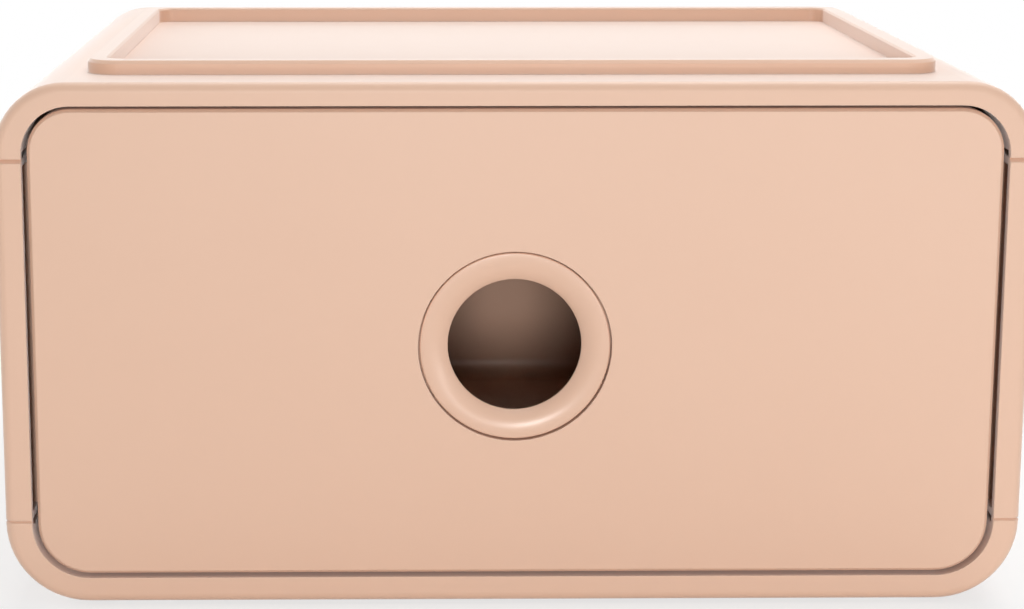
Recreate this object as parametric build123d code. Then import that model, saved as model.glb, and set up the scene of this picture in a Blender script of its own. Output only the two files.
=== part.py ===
from build123d import *
import math
import os

# Stackable drawer box: a casing of five panels that snap together, and one sliding drawer.
# Sizes are millimetres. X runs to the right, Y to the back and Z up, with the front at -Y.
# The origin lies on the ground under the middle of the box.

# ---- Driving dimensions: casing ----
width = 260.0
depth = 200.0
body_height = 134.5           # underside of the base to the flat top
shoulder_radius = 18.0        # long edges of the top
skirt_radius = 21.0           # long edges of the base
rim_rounding = 2.5            # edge where the front rim meets the skin
back_rim_chamfer = 1.5
wall = 2.2                    # skin and rims
side_frame = 7.0              # width of the front rim beside the opening
top_frame = 5.8
bottom_frame = 6.8
seam_straight = 1.0           # flat skin between a corner arc and the seam beside it
panel_chamfer = 1.2           # upper outer edge of the side panels, which shows as a bright line
base_chamfer = 0.8            # upper outer edge of the base, within its straight skin
end_wall = 2.0                # closes the side panel at each seam
lip_thickness = 1.8           # lip that returns inwards from the edge of the opening
lip_depth = 7.0
lip_seam_gap = 1.6            # the lips and ribs stop this far from the seam
rib_thickness = 1.6
rib_count = 4                 # rib frames along the depth

# ---- Driving dimensions: stacking ridge, tray and pocket ----
ridge_side_inset = 21.0       # from the sides of the box to the ridge
ridge_front_inset = 16.5
ridge_back_inset = 38.0
ridge_width = 5.2
ridge_height = 3.6
ridge_wall = 1.8              # the ridge is hollow from below
ridge_corner_radius = 8.0
ridge_outer_chamfer = 0.8
ridge_inner_chamfer = 0.5
tray_depth = 0.6              # tray floor below the flat top
stack_clearance = 0.6         # pocket beyond the ridge of the box below
grid_rib_height = 1.0
grid_rib_spacing = 34.0

# ---- Driving dimensions: snap tongues between the mouldings ----
tongue_length = 22.0
tongue_thickness = 2.0
tongue_reach = 5.5
tongue_root = 5.0
barb = 0.8
barb_height = 2.4
fit = 0.3                     # clearance round tongues, clips and sleeves

# ---- Driving dimensions: back panel ----
back_skin = 2.0
back_recess = 0.8             # panel face in from the back rim
back_flange = 1.8             # flange behind the rim, all round
back_rib_height = 2.4
back_rib_count = 5

# ---- Driving dimensions: drawer ----
side_gap = 1.4                # drawer front to the opening
top_gap = 0.8
bottom_gap = 1.0
face_recess = 0.3
face_chamfer = 0.8
front_skin = 2.4
front_skirt = 2.0
front_depth = 9.0
tub_wall = 2.0
tub_draft = 1.5               # degrees
tub_drop = 23.0               # rim of the tub below the top of the drawer front
tub_bottom_radius = 12.0
tub_back_radius = 8.0
tub_side_gap = 1.2            # rim of the tub to the opening
tub_back_gap = 2.5
tub_rim_reach = 1.6
tub_rim_thickness = 2.0
glide_gap = 0.3
skid_height = 1.6
skid_width = 5.0
skid_offset = 90.0
guide_height = 1.2
guide_thickness = 1.6
guide_gap = 0.4
tilt_rail_gap = 0.7           # tilt rail above the rim of the tub
tilt_rail_thickness = 2.0
tilt_rail_overlap = 2.4       # tilt rail over the rim
drawer_travel = 140.0
stop_gap = 0.3
stop_width = 30.0
stop_thickness = 2.5
stop_headroom = 0.3           # stop nub below the floor of the tub
clip_offset = 82.0
clip_width = 12.0
clip_thickness = 2.0
clip_rise = 34.0              # clips above and below the middle of the drawer front
clip_tail = 3.2               # clip behind the front wall of the tub

# ---- Driving dimensions: finger ring ----
ring_diameter = 48.2
ring_hole_diameter = 33.9
ring_drop = 0.5               # centre of the ring below the centre of the drawer front
ring_recess = 0.6
ring_gap = 0.4
ring_edge_chamfer = 0.4
ring_land = 1.2               # flat between the chamfer and the funnel
ring_funnel_depth = 2.2
funnel_steps = 3              # cones that make up the curve of the funnel
ring_lip_land = 0.6
ring_flange_thickness = 2.6
ring_flare_depth = 2.4
sleeve_wall = 2.0
sleeve_diameter = 43.4
sleeve_tail = 2.2
boss_wall = 2.0
boss_floor = 1.8
front_rib_spacing = 40.0
barb_arc = 34.0               # degrees
barb_count = 4

# ---- Driving dimensions: feet ----
foot_length = 16.0
foot_width = 9.0
foot_proud = 1.0
foot_seat = 1.0
foot_chamfer = 0.4
foot_side_margin = 35.0       # from the side of the box to the middle of a foot
foot_end_margin = 9.0         # from the front or back face

# ---- Derived places ----
front_y = -depth / 2
back_y = depth / 2
base_z = foot_proud
top_z = base_z + body_height
seam_high = top_z - shoulder_radius - seam_straight
seam_low = base_z + skirt_radius + seam_straight
opening_half = width / 2 - side_frame
opening_low = base_z + bottom_frame
opening_high = top_z - top_frame
opening_low_radius = skirt_radius - bottom_frame
opening_high_radius = shoulder_radius - top_frame
skin_inside = width / 2 - wall
ridge_length_x = width - 2 * ridge_side_inset
ridge_length_y = depth - ridge_front_inset - ridge_back_inset
ridge_middle_y = (ridge_front_inset - ridge_back_inset) / 2
ridge_inner_radius = ridge_corner_radius / 2
tray_z = top_z - tray_depth
tray_underside = tray_z - wall
pocket_ceiling = opening_low - wall
pocket_back_y = ridge_middle_y + ridge_length_y / 2 + stack_clearance
flange_front_y = back_y - wall - back_skin
last_rib_y = flange_front_y - fit - rib_thickness / 2
first_rib_y = front_y + wall + lip_depth + rib_thickness
rib_ys = [first_rib_y + (last_rib_y - first_rib_y) * i / (rib_count - 1) for i in range(rib_count)]
tongue_ys = [(rib_ys[i] + rib_ys[i + 1]) / 2 for i in range(rib_count - 1)]
tongue_outside = skin_inside - fit
tongue_inside = tongue_outside - tongue_thickness

face_y = front_y + face_recess
front_low = opening_low + bottom_gap
front_high = opening_high - top_gap
front_half = opening_half - side_gap
front_middle = (front_low + front_high) / 2
tub_front_y = face_y + front_depth
tub_back_y = flange_front_y - back_rib_height - tub_back_gap
tub_low = opening_low + glide_gap + skid_height
tub_high = front_high - tub_drop
tub_top_half = opening_half - tub_side_gap - tub_rim_reach
tub_low_half = tub_top_half - (tub_high - tub_low) * math.tan(math.radians(tub_draft))
skid_low = opening_low + glide_gap
hook_front_y = tub_back_y - tub_back_radius - stop_thickness
nub_back_y = hook_front_y - stop_gap - drawer_travel
ring_z = front_middle - ring_drop
ring_front_y = face_y + ring_recess
ring_back_y = ring_front_y + ring_flange_thickness
sleeve_end_y = tub_front_y + tub_wall + sleeve_tail
clip_zs = [front_middle - clip_rise, front_middle + clip_rise]
overrun = 1.0                 # how far a cutter runs past the face that it cuts


def block(x_span, y_span, z_span):
    """Box between two values on each axis, given in either order."""
    spans = [x_span, y_span, z_span]
    middle = [(low + high) / 2 for low, high in spans]
    size = [abs(high - low) for low, high in spans]
    return Pos(*middle) * Box(*size)


def upright_outline(half_width, low, high, low_radius, high_radius):
    """Upright rounded rectangle, with X to the right and Z up."""
    sketch = Pos(0, (low + high) / 2) * Rectangle(2 * half_width, high - low)
    sketch = fillet(sketch.vertices().group_by(Axis.Y)[0], low_radius)
    return fillet(sketch.vertices().group_by(Axis.Y)[-1], high_radius)


def prism(sketch, start_y, end_y):
    """Upright outline extruded from start_y back to end_y."""
    plane = Plane(origin=(0, end_y, 0), x_dir=(1, 0, 0), z_dir=(0, -1, 0))
    return extrude(plane * sketch, end_y - start_y)


def casing_outline(inset):
    return upright_outline(width / 2 - inset, base_z + inset, top_z - inset,
                           skirt_radius - inset, shoulder_radius - inset)


def opening_outline(grow):
    return upright_outline(opening_half + grow, opening_low - grow, opening_high + grow,
                           opening_low_radius + grow, opening_high_radius + grow)


def front_outline(inset):
    return upright_outline(front_half - inset, front_low + inset, front_high - inset,
                           opening_low_radius - bottom_gap - inset,
                           opening_high_radius - side_gap - inset)


def plan_prism(length_x, length_y, radius, low, high):
    """Rounded rectangle about the middle of the stacking ridge, extruded from low up to high."""
    plan = RectangleRounded(length_x, length_y, radius)
    return Pos(0, ridge_middle_y, low) * extrude(plan, high - low)


def slab(low, high):
    """Everything between two heights, wider than the box."""
    return block((-width, width), (-depth, depth), (low, high))


def front_loop(solid):
    """Edges of the frontmost face."""
    return solid.edges().group_by(Axis.Y)[0]


def back_loop(solid):
    """Edges of the rearmost face."""
    return solid.edges().group_by(Axis.Y)[-1]


# ---- Casing ----
def casing_shell():
    """Skin, front rim and back rim, before the casing is cut at its seams."""
    body = prism(casing_outline(0), front_y, back_y)
    body = fillet(front_loop(body), rim_rounding)
    body = chamfer(back_loop(body), back_rim_chamfer)
    body -= prism(casing_outline(wall), front_y + wall, back_y - wall)
    return body - prism(opening_outline(0), front_y - overrun, back_y + overrun)


def rib_frames():
    """Upright rib frames that stand on the skin and end at the line of the opening."""
    ring = casing_outline(wall / 2) - opening_outline(0)
    frames = [prism(ring, y - rib_thickness / 2, y + rib_thickness / 2) for y in rib_ys]
    return Part() + frames


def opening_lip():
    """Lip that runs back from the edge of the opening, behind the front rim."""
    ring = opening_outline(lip_thickness) - opening_outline(0)
    return prism(ring, front_y + wall / 2, front_y + wall + lip_depth)


def snap_tongues(seam, toward):
    """Barbed tongues on both sides of a seam; toward is +1 where they stand up across it."""
    barb_z = seam + toward * (end_wall + fit)
    barb_points = [(tongue_inside, barb_z), (tongue_inside - barb, barb_z),
                   (tongue_inside, barb_z + toward * barb_height)]
    barb_face = make_face(Polyline(barb_points, close=True))
    tongues = []
    for y in tongue_ys:
        span = (y - tongue_length / 2, y + tongue_length / 2)
        root_span = (seam, seam - toward * tongue_root)
        tip_span = (seam, seam + toward * tongue_reach)
        tongues.append(block((tongue_inside, skin_inside + wall / 2), span, root_span))
        tongues.append(block((tongue_inside, tongue_outside), span, tip_span))
        tongues.append(prism(barb_face, *span))
    right = Part() + tongues
    return right + mirror(right, Plane.YZ)


def seam_edges(solid, seam):
    """Outer edges of a moulding along a seam: the front rim, the skin and the back rim."""
    kept = ShapeList()
    for edge in solid.edges().filter_by_position(Axis.Z, seam - 0.01, seam + 0.01):
        middle = edge.center()
        on_skin = abs(middle.X) > skin_inside + wall / 4
        on_rim = abs(middle.Y) > depth / 2 - wall / 4
        if on_skin or on_rim:
            kept.append(edge)
    return kept


def stacking_ridge():
    """Raised band round the tray, with broken upper edges."""
    top = top_z + ridge_height
    band = plan_prism(ridge_length_x, ridge_length_y, ridge_corner_radius, tray_underside, top)
    band = chamfer(band.faces().sort_by(Axis.Z)[-1].edges(), ridge_outer_chamfer)
    band -= tray_space(ridge_width, tray_z)
    inner_edges = band.faces().sort_by(Axis.Z)[-1].inner_wires()[0].edges()
    return chamfer(inner_edges, ridge_inner_chamfer)


def tray_space(inset, low):
    """Space inside the ridge, from a height up past the top of the ridge."""
    radius = max(ridge_corner_radius - inset, ridge_inner_radius)
    return plan_prism(ridge_length_x - 2 * inset, ridge_length_y - 2 * inset, radius,
                      low, top_z + ridge_height + overrun)


def ridge_groove():
    """Hollow under the ridge, open from below, so that the moulding keeps one thickness."""
    low = tray_underside - overrun
    high = top_z + ridge_height - ridge_wall
    far = ridge_width - ridge_wall
    radius = max(ridge_corner_radius - far, ridge_inner_radius)
    outside = plan_prism(ridge_length_x - 2 * ridge_wall, ridge_length_y - 2 * ridge_wall,
                         ridge_corner_radius - ridge_wall, low, high)
    inside = plan_prism(ridge_length_x - 2 * far, ridge_length_y - 2 * far, radius, low, high)
    return outside - inside


def tray_ribs():
    """Grid of low ribs under the floor of the tray."""
    half_x = ridge_length_x / 2 - ridge_width - ridge_wall
    half_y = ridge_length_y / 2 - ridge_width - ridge_wall
    heights = (tray_underside - grid_rib_height, tray_z - wall / 2)
    ribs = []
    along = (ridge_middle_y - half_y, ridge_middle_y + half_y)
    for x in rib_pitch(half_x):
        ribs.append(block((x - rib_thickness / 2, x + rib_thickness / 2), along, heights))
    for offset in rib_pitch(half_y):
        y = ridge_middle_y + offset
        ribs.append(block((-half_x, half_x), (y - rib_thickness / 2, y + rib_thickness / 2), heights))
    return Part() + ribs


def rib_pitch(half_length):
    """Evenly spaced rib places over a length, clear of its two ends."""
    count = round(2 * half_length / grid_rib_spacing)
    step = 2 * half_length / count
    return [-half_length + step * i for i in range(1, count)]


def top_cover():
    cover = casing_shell() & slab(seam_high, top_z + overrun)
    stiffening = (rib_frames() + opening_lip()) & slab(seam_high + lip_seam_gap, top_z)
    cover += stiffening
    cover += stacking_ridge()
    cover -= tray_space(ridge_width, tray_z)
    cover += tray_space(ridge_width - ridge_wall / 2, tray_underside) & slab(tray_underside, tray_z)
    cover -= ridge_groove()
    cover += tray_ribs()
    return cover + snap_tongues(seam_high, -1)


def stack_pocket(grow, low, high):
    """Rounded block over the footprint of the ridge, with the stacking clearance and more."""
    return plan_prism(ridge_length_x + 2 * (stack_clearance + grow),
                      ridge_length_y + 2 * (stack_clearance + grow),
                      ridge_corner_radius + stack_clearance + grow, low, high)


def drawer_guides():
    """Two low strips that keep the skids of the drawer in line."""
    inner = skid_offset + skid_width / 2 + guide_gap
    span = (tub_front_y + guide_height, pocket_back_y)
    heights = (opening_low - wall / 2, opening_low + guide_height)
    strip = block((inner, inner + guide_thickness), span, heights)
    return strip + mirror(strip, Plane.YZ)


def stop_nub():
    """Nub on the floor of the casing that the hook of the drawer meets when it is pulled out."""
    return block((-stop_width / 2, stop_width / 2), (nub_back_y - stop_thickness, nub_back_y),
                 (opening_low - wall / 2, tub_low - stop_headroom))


def foot_block(x, y, grow):
    """Block of a foot, or of its seat when it grows sideways."""
    return block((x - foot_length / 2 - grow, x + foot_length / 2 + grow),
                 (y - foot_width / 2 - grow, y + foot_width / 2 + grow), (0, base_z + foot_seat))


def foot_places():
    aside = width / 2 - foot_side_margin
    along = depth / 2 - foot_end_margin
    return {"front_left": (-aside, -along), "front_right": (aside, -along),
            "back_left": (-aside, along), "back_right": (aside, along)}


def base():
    tray = casing_shell() & slab(0, seam_low)
    tray = chamfer(seam_edges(tray, seam_low), base_chamfer)
    tray += (rib_frames() + opening_lip()) & slab(0, seam_low - lip_seam_gap)
    plateau = stack_pocket(wall, base_z, opening_low)
    tray += plateau & prism(casing_outline(wall / 2), front_y + wall / 2, back_y - wall / 2)
    tray += drawer_guides()
    tray += stop_nub()
    tray -= stack_pocket(0, -overrun, pocket_ceiling)
    for x, y in foot_places().values():
        tray -= foot_block(x, y, fit / 2)
    return tray + snap_tongues(seam_low, 1)


def tongue_slots(seam, toward):
    """Slots in an end wall for the tongues that cross its seam."""
    slots = []
    for y in tongue_ys:
        span = (y - tongue_length / 2 - fit, y + tongue_length / 2 + fit)
        slots.append(block((tongue_inside - fit, skin_inside), span,
                           (seam - toward * overrun, seam + toward * (end_wall + overrun))))
    return slots


def right_side_panel():
    """Pan that is open towards the drawer, closed by an end wall at each seam."""
    right_half = block((0, width), (-depth, depth), (seam_low, seam_high))
    panel = casing_shell() & right_half
    panel = chamfer(seam_edges(panel, seam_high), panel_chamfer)
    panel += rib_frames() & right_half
    wall_span = (front_y + wall / 2, last_rib_y + rib_thickness / 2)
    across = (opening_half, width / 2 - wall / 2)
    panel += block(across, wall_span, (seam_high - end_wall, seam_high))
    panel += block(across, wall_span, (seam_low, seam_low + end_wall))
    rail_low = tub_high + tilt_rail_gap
    rail_inside = opening_half - tub_side_gap - tilt_rail_overlap
    panel += block((rail_inside, width / 2 - wall / 2), (tub_front_y + overrun, last_rib_y),
                   (rail_low, rail_low + tilt_rail_thickness))
    for slot in tongue_slots(seam_high, -1) + tongue_slots(seam_low, 1):
        panel -= slot
    return panel


def left_side_panel():
    return mirror(right_side_panel(), Plane.YZ)


def back_panel():
    """Panel in the back opening, held by its flange between the back rim and the last rib frame."""
    skin_front_y = back_y - back_recess - back_skin
    field = opening_outline(-fit)
    panel = prism(field, flange_front_y, back_y - back_recess)
    panel += prism(opening_outline(back_flange), flange_front_y, back_y - wall)
    panel -= prism(opening_outline(-fit - back_skin), flange_front_y - overrun, skin_front_y)
    inside = prism(opening_outline(-fit - back_skin), flange_front_y - back_rib_height,
                   skin_front_y + back_skin / 2)
    step = 2 * opening_half / (back_rib_count + 1)
    for i in range(1, back_rib_count + 1):
        x = -opening_half + step * i
        strip = block((x - rib_thickness / 2, x + rib_thickness / 2), (0, depth), (0, top_z))
        panel += inside & strip
    middle = (opening_low + opening_high) / 2
    cross = block((-width, width), (0, depth), (middle - rib_thickness / 2, middle + rib_thickness / 2))
    return panel + (inside & cross)


# ---- Drawer ----
def tub_profile(inset, high):
    """Section across the tub: sides that lean out and rounded lower corners."""
    lean = math.tan(math.radians(tub_draft))
    low = tub_low + inset
    low_half = tub_low_half - inset + inset * lean
    high_half = low_half + (high - low) * lean
    points = [(-low_half, low), (low_half, low), (high_half, high), (-high_half, high)]
    section = make_face(Polyline(points, close=True))
    return fillet(section.vertices().group_by(Axis.Y)[0], tub_bottom_radius - inset)


def below_rim(edges, high):
    """Edges that lie wholly or partly below a height."""
    return edges.filter_by(lambda edge: edge.center().Z < high - overrun / 2)


def tub_cavity():
    """Inside of the tub, which runs up past the rim."""
    high = tub_high + overrun
    cavity = prism(tub_profile(tub_wall, high), tub_front_y + tub_wall, tub_back_y - tub_wall)
    return fillet(below_rim(back_loop(cavity), high), tub_back_radius - tub_wall)


def ring_bore(radius, start_y, end_y):
    """Upright disc or drum round the axis of the finger ring."""
    return prism(Pos(0, ring_z) * Circle(radius), start_y, end_y)


def clip_places():
    return [(x, z) for x in (-clip_offset, clip_offset) for z in clip_zs]


def drawer_tub():
    tub = prism(tub_profile(0, tub_high), tub_front_y, tub_back_y)
    tub = fillet(below_rim(back_loop(tub), tub_high), tub_back_radius)
    rim_half = tub_top_half + tub_rim_reach
    rim_back_y = tub_back_y + tub_rim_reach
    rim = Pos(0, (tub_front_y + rim_back_y) / 2) * Rectangle(2 * rim_half, rim_back_y - tub_front_y)
    rim = fillet(rim.vertices().group_by(Axis.Y)[-1], tub_back_radius + tub_rim_reach)
    tub += Pos(0, 0, tub_high - tub_rim_thickness) * extrude(rim, tub_rim_thickness)
    tub -= tub_cavity()
    under = (skid_low, tub_low + tub_wall / 2)
    skid_span = (tub_front_y + skid_width, hook_front_y)
    for x in (-skid_offset, skid_offset):
        tub += block((x - skid_width / 2, x + skid_width / 2), skid_span, under)
    tub += block((-stop_width / 2, stop_width / 2), (hook_front_y, hook_front_y + stop_thickness), under)
    wall_span = (tub_front_y - overrun, tub_front_y + tub_wall + overrun)
    tub -= ring_bore(sleeve_diameter / 2 + fit, *wall_span)
    for x, z in clip_places():
        tub -= block((x - clip_width / 2 - fit, x + clip_width / 2 + fit), wall_span,
                     (z - clip_thickness / 2 - fit, z + clip_thickness / 2 + fit))
    return tub


def front_clip(x, z):
    """Barbed clip that runs back from the drawer front through the front wall of the tub."""
    end_y = tub_front_y + tub_wall + clip_tail
    upper = z + clip_thickness / 2
    blade = block((x - clip_width / 2, x + clip_width / 2), (face_y + front_skin / 2, end_y),
                  (z - clip_thickness / 2, upper))
    hook_y = tub_front_y + tub_wall + fit
    hook_points = [(hook_y, upper), (end_y, upper), (hook_y, upper + barb)]
    side = Plane(origin=(x - clip_width / 2, 0, 0), x_dir=(0, 1, 0), z_dir=(1, 0, 0))
    hook_face = side * make_face(Polyline(hook_points, close=True))
    return blade + extrude(hook_face, clip_width)


def drawer_front():
    """Shallow pan with a seat for the finger ring, ribs and clips on its back."""
    back = face_y + front_depth
    panel = prism(front_outline(0), face_y, back)
    panel = chamfer(front_loop(panel), face_chamfer)
    panel -= prism(front_outline(front_skirt), face_y + front_skin, back + overrun)
    inside = prism(front_outline(front_skirt / 2), face_y + front_skin / 2, back)
    for x in (-2, -1, 1, 2):
        middle = x * front_rib_spacing
        strip = block((middle - rib_thickness / 2, middle + rib_thickness / 2), (-depth, 0), (0, top_z))
        panel += inside & strip
    seat_radius = ring_diameter / 2 + ring_gap
    seat_y = ring_back_y
    panel += ring_bore(seat_radius + boss_wall, face_y + front_skin / 2, seat_y + boss_floor)
    panel -= ring_bore(seat_radius, face_y - overrun, seat_y)
    panel -= ring_bore(sleeve_diameter / 2 + fit, face_y - overrun, back + overrun)
    for x, z in clip_places():
        panel += front_clip(x, z)
    return panel


def funnel_points(start, end, start_y):
    """Points of a curve that leaves the flat of the ring and steepens towards the hole."""
    run = start - end
    radius = (run ** 2 + ring_funnel_depth ** 2) / (2 * ring_funnel_depth)
    turn = math.asin(run / radius)
    points = []
    for i in range(funnel_steps + 1):
        angle = turn * i / funnel_steps
        points.append((start - radius * math.sin(angle), start_y + radius * (1 - math.cos(angle))))
    return points


def finger_ring():
    """Ring with a funnel that steepens towards its lip, a flange and a barbed sleeve."""
    outer = ring_diameter / 2
    hole = ring_hole_diameter / 2
    sleeve_outer = sleeve_diameter / 2
    sleeve_inner = sleeve_outer - sleeve_wall
    lip_y = ring_front_y + ring_funnel_depth
    land_y = lip_y + ring_lip_land
    flare_y = land_y + ring_flare_depth
    land_end = outer - ring_edge_chamfer - ring_land
    points = [(outer, ring_front_y + ring_edge_chamfer), (outer - ring_edge_chamfer, ring_front_y)]
    points += funnel_points(land_end, hole, ring_front_y)
    points += [(hole, land_y), (sleeve_inner, flare_y), (sleeve_inner, sleeve_end_y)]
    points += [(sleeve_outer, sleeve_end_y), (sleeve_outer, ring_back_y), (outer, ring_back_y)]
    profile = make_face(Polyline(points, close=True))
    axis = Axis((0, 0, ring_z), (0, 1, 0))
    ring = revolve(Pos(0, 0, ring_z) * profile, axis)
    barb_y = tub_front_y + tub_wall + fit / 2
    inside = sleeve_outer - sleeve_wall / 2
    barb_points = [(inside, barb_y), (sleeve_outer + barb, barb_y), (sleeve_outer, sleeve_end_y),
                   (inside, sleeve_end_y)]
    barb_profile = Pos(0, 0, ring_z) * make_face(Polyline(barb_points, close=True))
    segment = revolve(barb_profile, axis, barb_arc)
    for i in range(barb_count):
        ring += segment.rotate(axis, 360 / barb_count * i + (360 / barb_count - barb_arc) / 2)
    return ring


# ---- Feet ----
def foot(x, y):
    """Soft pad that sits in a shallow seat under the base."""
    pad = foot_block(x, y, 0)
    return chamfer(pad.edges().group_by(Axis.Z)[0], foot_chamfer)


parts = {
    "top_cover": top_cover,
    "base": base,
    "left_side_panel": left_side_panel,
    "right_side_panel": right_side_panel,
    "back_panel": back_panel,
    "drawer_tub": drawer_tub,
    "drawer_front": drawer_front,
    "finger_ring": finger_ring,
}

os.makedirs("parts", exist_ok=True)
for name, make in parts.items():
    export_step(make(), f"parts/{name}.step")
for place, (x, y) in foot_places().items():
    export_step(foot(x, y), f"parts/foot_{place}.step")
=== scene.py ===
import math

import bmesh
import bpy
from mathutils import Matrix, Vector


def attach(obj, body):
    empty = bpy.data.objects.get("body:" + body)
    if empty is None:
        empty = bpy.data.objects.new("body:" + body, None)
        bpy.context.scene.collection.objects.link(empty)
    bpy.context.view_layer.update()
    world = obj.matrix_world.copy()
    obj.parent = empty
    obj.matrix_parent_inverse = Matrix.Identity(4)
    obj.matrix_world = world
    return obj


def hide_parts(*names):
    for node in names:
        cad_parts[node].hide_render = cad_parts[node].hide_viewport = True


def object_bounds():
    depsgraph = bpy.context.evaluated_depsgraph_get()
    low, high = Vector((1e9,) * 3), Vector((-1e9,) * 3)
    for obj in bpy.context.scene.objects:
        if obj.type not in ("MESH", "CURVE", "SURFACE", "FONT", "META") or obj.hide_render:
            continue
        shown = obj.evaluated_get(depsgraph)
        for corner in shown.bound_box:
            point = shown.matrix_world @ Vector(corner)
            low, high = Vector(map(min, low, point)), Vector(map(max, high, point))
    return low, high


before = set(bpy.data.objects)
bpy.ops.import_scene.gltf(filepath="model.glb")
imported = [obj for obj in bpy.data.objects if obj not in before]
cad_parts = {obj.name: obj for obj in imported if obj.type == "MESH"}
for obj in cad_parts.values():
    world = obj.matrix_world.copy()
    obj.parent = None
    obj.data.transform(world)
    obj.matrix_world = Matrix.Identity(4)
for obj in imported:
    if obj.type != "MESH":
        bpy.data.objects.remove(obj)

CAD_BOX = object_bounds()
MM = 0.001
WHITE = (1, 1, 1, 1)
SEEN_WHITE = 1.0                    # strength of the plain white that the camera sees

# ---- Camera: the photograph's direction, from farther off with a longer lens ----
PHOTO_WIDTH = 1024
CAMERA_DISTANCE = 0.560             # from the drawer front
CAMERA_X = -0.0298
CAMERA_Z = 0.2069
CAMERA_YAW = math.radians(0.59)     # turned to the right
CAMERA_PITCH = math.radians(10.51)  # tilted down
CAMERA_FOCAL_PIXELS = 2285
CAMERA_SHIFT = (0.09, -0.09)
CAMERA_SENSOR = 36.0                # millimetres
CAMERA_CLIP = (0.01, 50.0)

# ---- Colours, linear ----
BLUSH = (0.760, 0.500, 0.366)
BLUSH_DEEP = (0.690, 0.425, 0.295)  # mottling
BLUSH_PAINTED_HIGHLIGHT = (0.900, 0.700, 0.580)  # painted highlight on edges and corners
TUB_PAINTED_BOUNCE = (0.790, 0.465, 0.320)   # warmer, more saturated copy of the blush plastic: painted bounce light inside the drawer
PAD_COLOUR = (0.62, 0.58, 0.53)
# painted highlight on the edges of the pads
PAD_PAINTED_HIGHLIGHT = (0.72, 0.69, 0.64)
FLOOR_WHITE = (0.93, 0.93, 0.93)

# ---- Moulded plastic ----
SHELL_ROUGHNESS = 0.46
DRAWER_ROUGHNESS = 0.38
RING_ROUGHNESS = 0.30
PAD_ROUGHNESS = 0.60
GLOSS_DRIFT = 0.04                  # roughness more or less
SHELL_SHEEN = 0.80                  # whitish bloom at a low angle
DRAWER_SHEEN = 0.10
SHEEN_ROUGHNESS = 0.40
PLASTIC_IOR = 1.5
PLASTIC_SPECULAR = 0.5
MOTTLE = {"Scale": 22.0, "Detail": 3.0, "Roughness": 0.5}    # slow colour drift over a panel
GRAIN = {"Scale": 2600.0, "Detail": 2.0, "Roughness": 0.55}  # fine mould texture
SMEAR = {"Scale": 140.0, "Detail": 4.0, "Roughness": 0.6}    # uneven gloss
MOTTLE_DEPTH = 0.16                 # largest share of the deep colour
GRAIN_STRENGTH = 0.2
GRAIN_DEPTH = 0.02 * MM
RING_GRAIN_DEPTH = 0.01 * MM
PAD_GRAIN_DEPTH = 0.03 * MM
EDGE_RADIUS = 0.40 * MM
EDGE_SAMPLES = 6
PAINTED_HIGHLIGHT_SHARE = 0.50                    # largest share of the painted highlight colour
EDGE_LEAN = (0.75, 0.995)           # cosine of the lean of a normal: full painted highlight, no painted highlight

# ---- Finger ring, in millimetres ----
RING_STEPS = 192
EDGE_STEPS = 4
FUNNEL_STEPS = 16
RING_Z = 68.35
RING_OUTER = 24.1
RING_HOLE = 16.95
RING_FRONT_Y = -99.1
RING_EDGE = 0.4                     # rounding of the outer edge
RING_LAND = 1.2                     # flat between that rounding and the funnel
RING_FUNNEL = 2.2
RING_LIP = 0.6
RING_FLARE = 2.4
RING_FLANGE = 2.6
SLEEVE_OUTER = 21.7
SLEEVE_INNER = 19.7
SLEEVE_END_Y = -86.5
BARBS = 4
BARB = 0.8
BARB_Y = -88.55
BARB_STEP = 0.01                    # length of the barb's steep side
BARB_ARC = math.radians(34.0)

# ---- Floor, world and lamps, in metres and watts ----
FLOOR_SIZE = 12.0
FLOOR_FRONT = -0.60                 # front edge of the table
FLOOR_Z = -0.2 * MM                 # a hair under the pads
FLOOR_ROUGHNESS = 0.9
FLOOR_SPECULAR = 0.1
FLOOR_GLOW = (0.70, 1.0)            # share of plain white that the camera sees: near, far
FLOOR_GLOW_REACH = (0.40, 1.10)     # the share grows between these distances from the middle
WORLD_LIGHT = 0.18                  # strength on the object
LAMPS = (
    # name, place, target, size, watts
    ("key", (1.1, -1.2, 0.5), (0, 0, 0.07), (1.0, 0.8), 1.2),
    # small, for the light inside the finger hole and the glint on its ring
    ("window", (-0.05, -1.5, 0.29), (0, -0.1, 0.068), (0.18, 0.18), 7.2),
    # on the floor before the drawer
    ("front_top", (0.1, -0.75, 1.3), (0, -0.45, 0), (0.9, 0.5), 1.8),
    # on the lower part of the front
    ("low_fill", (0.40, -0.85, 0.04), (0.02, -0.1, 0.0), (0.55, 0.06), 1.25),
    # on the top and its tray, from above and from behind
    ("top", (0.3, 0.60, 1.5), (0, 0, 0.1), (1.4, 1.0), 19.5),
    ("back_card", (0.0, 1.4, 0.45), (0, 0, 0.14), (2.6, 0.8), 5.2),
    ("side_fill", (-1.4, 0.45, 0.6), (0, 0, 0.07), (1.0, 0.8), 5),
)

# Sockets of a Mix node that mixes colours
MIX_FACTOR, MIX_FIRST, MIX_SECOND, MIX_RESULT = 0, 6, 7, 2


# ---- Nodes ----
def node(tree, kind, **inputs):
    """New node, with its inputs set by name."""
    made = tree.nodes.new(kind)
    for name, value in inputs.items():
        made.inputs[name.replace("_", " ")].default_value = value
    return made


def mix_colour(tree, factor, first, second):
    """Mix two colours; each is a plain colour or the output of a node."""
    mix = tree.nodes.new("ShaderNodeMix")
    mix.data_type = "RGBA"
    for socket, colour in ((mix.inputs[MIX_FIRST], first), (mix.inputs[MIX_SECOND], second)):
        if isinstance(colour, tuple):
            socket.default_value = (*colour, 1)
        else:
            tree.links.new(colour, socket)
    tree.links.new(factor, mix.inputs[MIX_FACTOR])
    return mix.outputs[MIX_RESULT]


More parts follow.
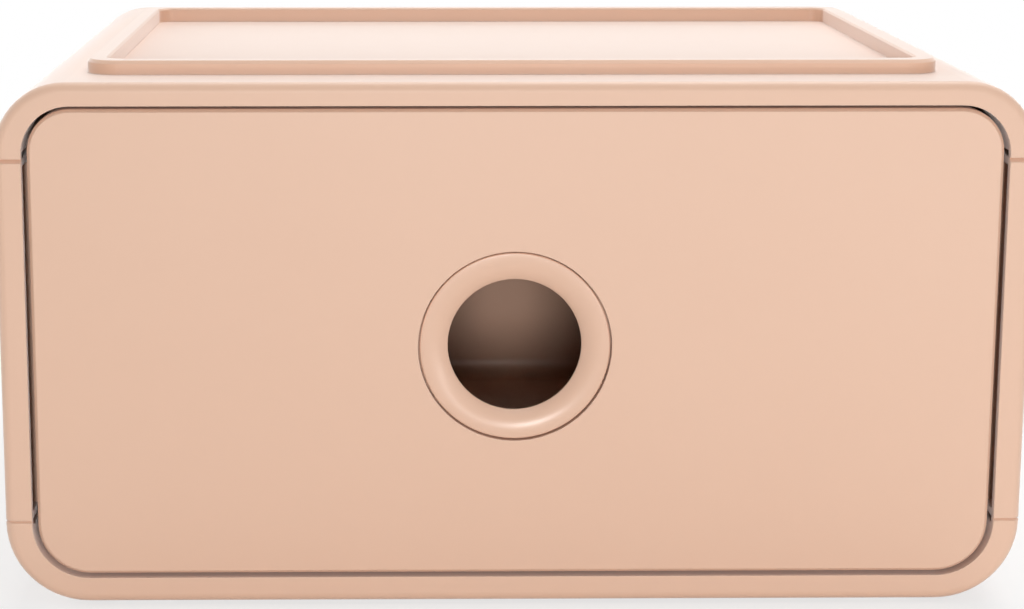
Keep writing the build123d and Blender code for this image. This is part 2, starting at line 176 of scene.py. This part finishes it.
def span(tree, value, low, high, start=0.0, end=1.0):
    """Scale a value that runs from start to end to the range from low to high."""
    ramp = node(tree, "ShaderNodeMapRange", From_Min=start, From_Max=end, To_Min=low, To_Max=high)
    tree.links.new(value, ramp.inputs["Value"])
    return ramp.outputs["Result"]


def combine(tree, operation, first, second):
    """One number from two outputs."""
    made = tree.nodes.new("ShaderNodeMath")
    made.operation = operation
    tree.links.new(first, made.inputs[0])
    tree.links.new(second, made.inputs[1])
    return made.outputs[0]


def blend_surface(tree, share, first, second, output):
    """Show the second shader by that share, and the first for the rest."""
    mix = tree.nodes.new("ShaderNodeMixShader")
    tree.links.new(share, mix.inputs["Fac"])
    tree.links.new(first.outputs[0], mix.inputs[1])
    tree.links.new(second.outputs[0], mix.inputs[2])
    tree.links.new(mix.outputs[0], tree.nodes[output].inputs["Surface"])


# ---- Materials ----
def painted_highlight_mask(tree, rounded):
    """0 on flats and up to 1 on edges, from how far the rounded normal leans over; this is where
    the highlight is painted.
    """
    true_normal = tree.nodes.new("ShaderNodeNewGeometry").outputs["True Normal"]
    lean = tree.nodes.new("ShaderNodeVectorMath")
    lean.operation = "DOT_PRODUCT"
    tree.links.new(rounded, lean.inputs[0])
    tree.links.new(true_normal, lean.inputs[1])
    return span(tree, lean.outputs["Value"], 1.0, 0.0, *EDGE_LEAN)


def moulded_plastic(name, colours, roughness, grain_depth, sheen):
    """Satin injection-moulded plastic: slow mottling, fine grain, uneven gloss and a painted
    highlight on its edges.
    """
    colour, deep, highlight_colour = colours
    material = bpy.data.materials.new(name)
    material.use_nodes = True
    tree = material.node_tree
    shader = tree.nodes["Principled BSDF"]
    place = tree.nodes.new("ShaderNodeTexCoord").outputs["Object"]

    mottle, grain, smear = (node(tree, "ShaderNodeTexNoise", **kind)
                            for kind in (MOTTLE, GRAIN, SMEAR))
    for texture in (mottle, grain, smear):
        tree.links.new(place, texture.inputs["Vector"])

    rounded = node(tree, "ShaderNodeBevel", Radius=EDGE_RADIUS)
    rounded.samples = EDGE_SAMPLES
    bump = node(tree, "ShaderNodeBump", Strength=GRAIN_STRENGTH, Distance=grain_depth)
    tree.links.new(grain.outputs["Fac"], bump.inputs["Height"])
    tree.links.new(rounded.outputs["Normal"], bump.inputs["Normal"])
    tree.links.new(bump.outputs["Normal"], shader.inputs["Normal"])

    body = mix_colour(tree, span(tree, mottle.outputs["Fac"], 0.0, MOTTLE_DEPTH), colour, deep)
    # painted highlight: edges lightened towards the pale colour
    painted_highlight = span(tree, painted_highlight_mask(tree, rounded.outputs["Normal"]), 0.0, PAINTED_HIGHLIGHT_SHARE)
    tree.links.new(mix_colour(tree, painted_highlight, body, highlight_colour), shader.inputs["Base Color"])
    gloss = span(tree, smear.outputs["Fac"], roughness - GLOSS_DRIFT, roughness + GLOSS_DRIFT)
    tree.links.new(gloss, shader.inputs["Roughness"])
    shader.inputs["IOR"].default_value = PLASTIC_IOR
    shader.inputs["Specular IOR Level"].default_value = PLASTIC_SPECULAR
    shader.inputs["Sheen Weight"].default_value = sheen
    shader.inputs["Sheen Roughness"].default_value = SHEEN_ROUGHNESS
    return material


def dress(material, *nodes):
    for name in nodes:
        for slot in bpy.data.objects[name].material_slots:
            slot.material = material


blush = (BLUSH, BLUSH_DEEP, BLUSH_PAINTED_HIGHLIGHT)
tub_painted_bounce = (TUB_PAINTED_BOUNCE, BLUSH_DEEP, BLUSH_PAINTED_HIGHLIGHT)
pad_grey = (PAD_COLOUR, PAD_COLOUR, PAD_PAINTED_HIGHLIGHT)
shell = moulded_plastic("shell_plastic", blush, SHELL_ROUGHNESS, GRAIN_DEPTH, SHELL_SHEEN)
drawer = moulded_plastic("drawer_plastic", blush, DRAWER_ROUGHNESS, GRAIN_DEPTH, DRAWER_SHEEN)
# the tub is the same blush plastic; its warmer copy paints the bounce light inside the drawer
tub = moulded_plastic("tub_plastic_painted_bounce", tub_painted_bounce, DRAWER_ROUGHNESS, GRAIN_DEPTH, DRAWER_SHEEN)
ring = moulded_plastic("ring_plastic", blush, RING_ROUGHNESS, RING_GRAIN_DEPTH, DRAWER_SHEEN)
pad = moulded_plastic("pad_rubber", pad_grey, PAD_ROUGHNESS, PAD_GRAIN_DEPTH, DRAWER_SHEEN)
dress(shell, "top_cover", "base", "left_side_panel", "right_side_panel", "back_panel")
dress(drawer, "drawer_front")
dress(tub, "drawer_tub")
dress(pad, "foot_front_left", "foot_front_right", "foot_back_left", "foot_back_right")


# ---- Finger ring, smooth all round ----
def ring_profile(barbed):
    """Outline of the ring as (radius, y, sharp) in millimetres, from its outer edge inwards."""
    points = []
    for i in range(EDGE_STEPS + 1):
        turn = math.radians(90) * i / EDGE_STEPS
        points.append((RING_OUTER - RING_EDGE * (1 - math.cos(turn)),
                       RING_FRONT_Y + RING_EDGE * (1 - math.sin(turn)), False))
    start = RING_OUTER - RING_EDGE - RING_LAND
    run = start - RING_HOLE
    curve = (run ** 2 + RING_FUNNEL ** 2) / (2 * RING_FUNNEL)
    whole = math.asin(run / curve)
    for i in range(FUNNEL_STEPS + 1):
        turn = whole * i / FUNNEL_STEPS
        points.append((start - curve * math.sin(turn), RING_FRONT_Y + curve * (1 - math.cos(turn)),
                       i == FUNNEL_STEPS))
    land_y = RING_FRONT_Y + RING_FUNNEL + RING_LIP
    back_y = RING_FRONT_Y + RING_FLANGE
    reach = BARB if barbed else 0.0
    points += [(RING_HOLE, land_y, True), (SLEEVE_INNER, land_y + RING_FLARE, True),
               (SLEEVE_INNER, SLEEVE_END_Y, True), (SLEEVE_OUTER, SLEEVE_END_Y, True),
               (SLEEVE_OUTER + reach, BARB_Y, True), (SLEEVE_OUTER, BARB_Y - BARB_STEP, True),
               (SLEEVE_OUTER, back_y, True), (RING_OUTER, back_y, True)]
    return points


def ring_loops(shape):
    """Vertices of the ring's outline at every step round its axis."""
    loops = []
    pitch = 2 * math.pi / BARBS
    for step in range(RING_STEPS):
        angle = 2 * math.pi * step / RING_STEPS
        from_barb = abs(angle % pitch - pitch / 2)
        outline = ring_profile(from_barb < BARB_ARC / 2)
        loops.append([shape.verts.new((radius * math.cos(angle) * MM, y * MM,
                                       (RING_Z + radius * math.sin(angle)) * MM))
                      for radius, y, _ in outline])
    return loops


def smooth_ring():
    """Piece in place of the CAD ring, whose funnel is three cones."""
    shape = bmesh.new()
    loops = ring_loops(shape)
    sharp = [flag for _, _, flag in ring_profile(False)]
    count = len(sharp)
    for step in range(RING_STEPS):
        here, after = loops[step], loops[(step + 1) % RING_STEPS]
        for i in range(count):
            k = (i + 1) % count
            face = shape.faces.new((here[i], after[i], after[k], here[k]))
            face.smooth = True
    for step in range(RING_STEPS):
        here, after = loops[step], loops[(step + 1) % RING_STEPS]
        for i in range(count):
            if sharp[i]:
                shape.edges.get((here[i], after[i])).smooth = False
    bmesh.ops.recalc_face_normals(shape, faces=shape.faces)
    mesh = bpy.data.meshes.new("finger_ring_smooth")
    shape.to_mesh(mesh)
    shape.free()
    mesh.materials.append(ring)
    piece = bpy.data.objects.new("finger_ring_smooth", mesh)
    bpy.context.collection.objects.link(piece)
    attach(piece, "drawer")
    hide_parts("finger_ring")


smooth_ring()


# ---- Floor, world, lamps and camera ----
def make_floor():
    """Pale floor: lit and shadowed as usual, and lifted to white where the camera sees it."""
    bpy.ops.mesh.primitive_plane_add(size=FLOOR_SIZE,
                                     location=(0, FLOOR_FRONT + FLOOR_SIZE / 2, FLOOR_Z))
    floor = bpy.context.object
    floor.name = "floor"
    material = bpy.data.materials.new("floor_white")
    material.use_nodes = True
    tree = material.node_tree
    shader = tree.nodes["Principled BSDF"]
    shader.inputs["Base Color"].default_value = (*FLOOR_WHITE, 1)
    shader.inputs["Roughness"].default_value = FLOOR_ROUGHNESS
    shader.inputs["Specular IOR Level"].default_value = FLOOR_SPECULAR
    white = node(tree, "ShaderNodeEmission", Color=WHITE, Strength=SEEN_WHITE)
    path = tree.nodes.new("ShaderNodeLightPath")
    away = tree.nodes.new("ShaderNodeVectorMath")
    away.operation = "LENGTH"
    tree.links.new(tree.nodes.new("ShaderNodeNewGeometry").outputs["Position"], away.inputs[0])
    glow = span(tree, away.outputs["Value"], *FLOOR_GLOW, *FLOOR_GLOW_REACH)
    share = combine(tree, "MULTIPLY", path.outputs["Is Camera Ray"], glow)
    blend_surface(tree, share, shader, white, "Material Output")
    floor.data.materials.append(material)


def make_world():
    """Soft light on the object, and plain white for camera and glossy rays."""
    world = bpy.data.worlds.new("studio")
    bpy.context.scene.world = world
    world.use_nodes = True
    tree = world.node_tree
    light = tree.nodes["Background"]
    light.inputs["Color"].default_value = WHITE
    light.inputs["Strength"].default_value = WORLD_LIGHT
    seen = node(tree, "ShaderNodeBackground", Color=WHITE, Strength=SEEN_WHITE)
    path = tree.nodes.new("ShaderNodeLightPath")
    share = combine(tree, "MAXIMUM", path.outputs["Is Camera Ray"], path.outputs["Is Glossy Ray"])
    blend_surface(tree, share, light, seen, "World Output")


def area_lamp(name, place, target, size, watts):
    data = bpy.data.lights.new(name, "AREA")
    data.shape = "RECTANGLE"
    data.size, data.size_y = size
    data.energy = watts
    lamp = bpy.data.objects.new(name, data)
    lamp.location = place
    lamp.rotation_euler = (Vector(target) - Vector(place)).to_track_quat("-Z", "Y").to_euler()
    lamp.visible_camera = False
    bpy.context.collection.objects.link(lamp)


def make_camera():
    data = bpy.data.cameras.new("camera")
    data.sensor_width = CAMERA_SENSOR
    data.lens = CAMERA_FOCAL_PIXELS * CAMERA_SENSOR / PHOTO_WIDTH
    data.shift_x, data.shift_y = CAMERA_SHIFT
    data.clip_start, data.clip_end = CAMERA_CLIP
    camera = bpy.data.objects.new("camera", data)
    front_y = CAD_BOX[0][1]
    camera.location = (CAMERA_X, front_y - CAMERA_DISTANCE, CAMERA_Z)
    camera.rotation_euler = (math.radians(90) - CAMERA_PITCH, 0, -CAMERA_YAW)
    bpy.context.collection.objects.link(camera)
    bpy.context.scene.camera = camera


make_floor()
make_world()
for lamp in LAMPS:
    area_lamp(*lamp)
make_camera()
bpy.context.scene.view_settings.view_transform = "Standard"
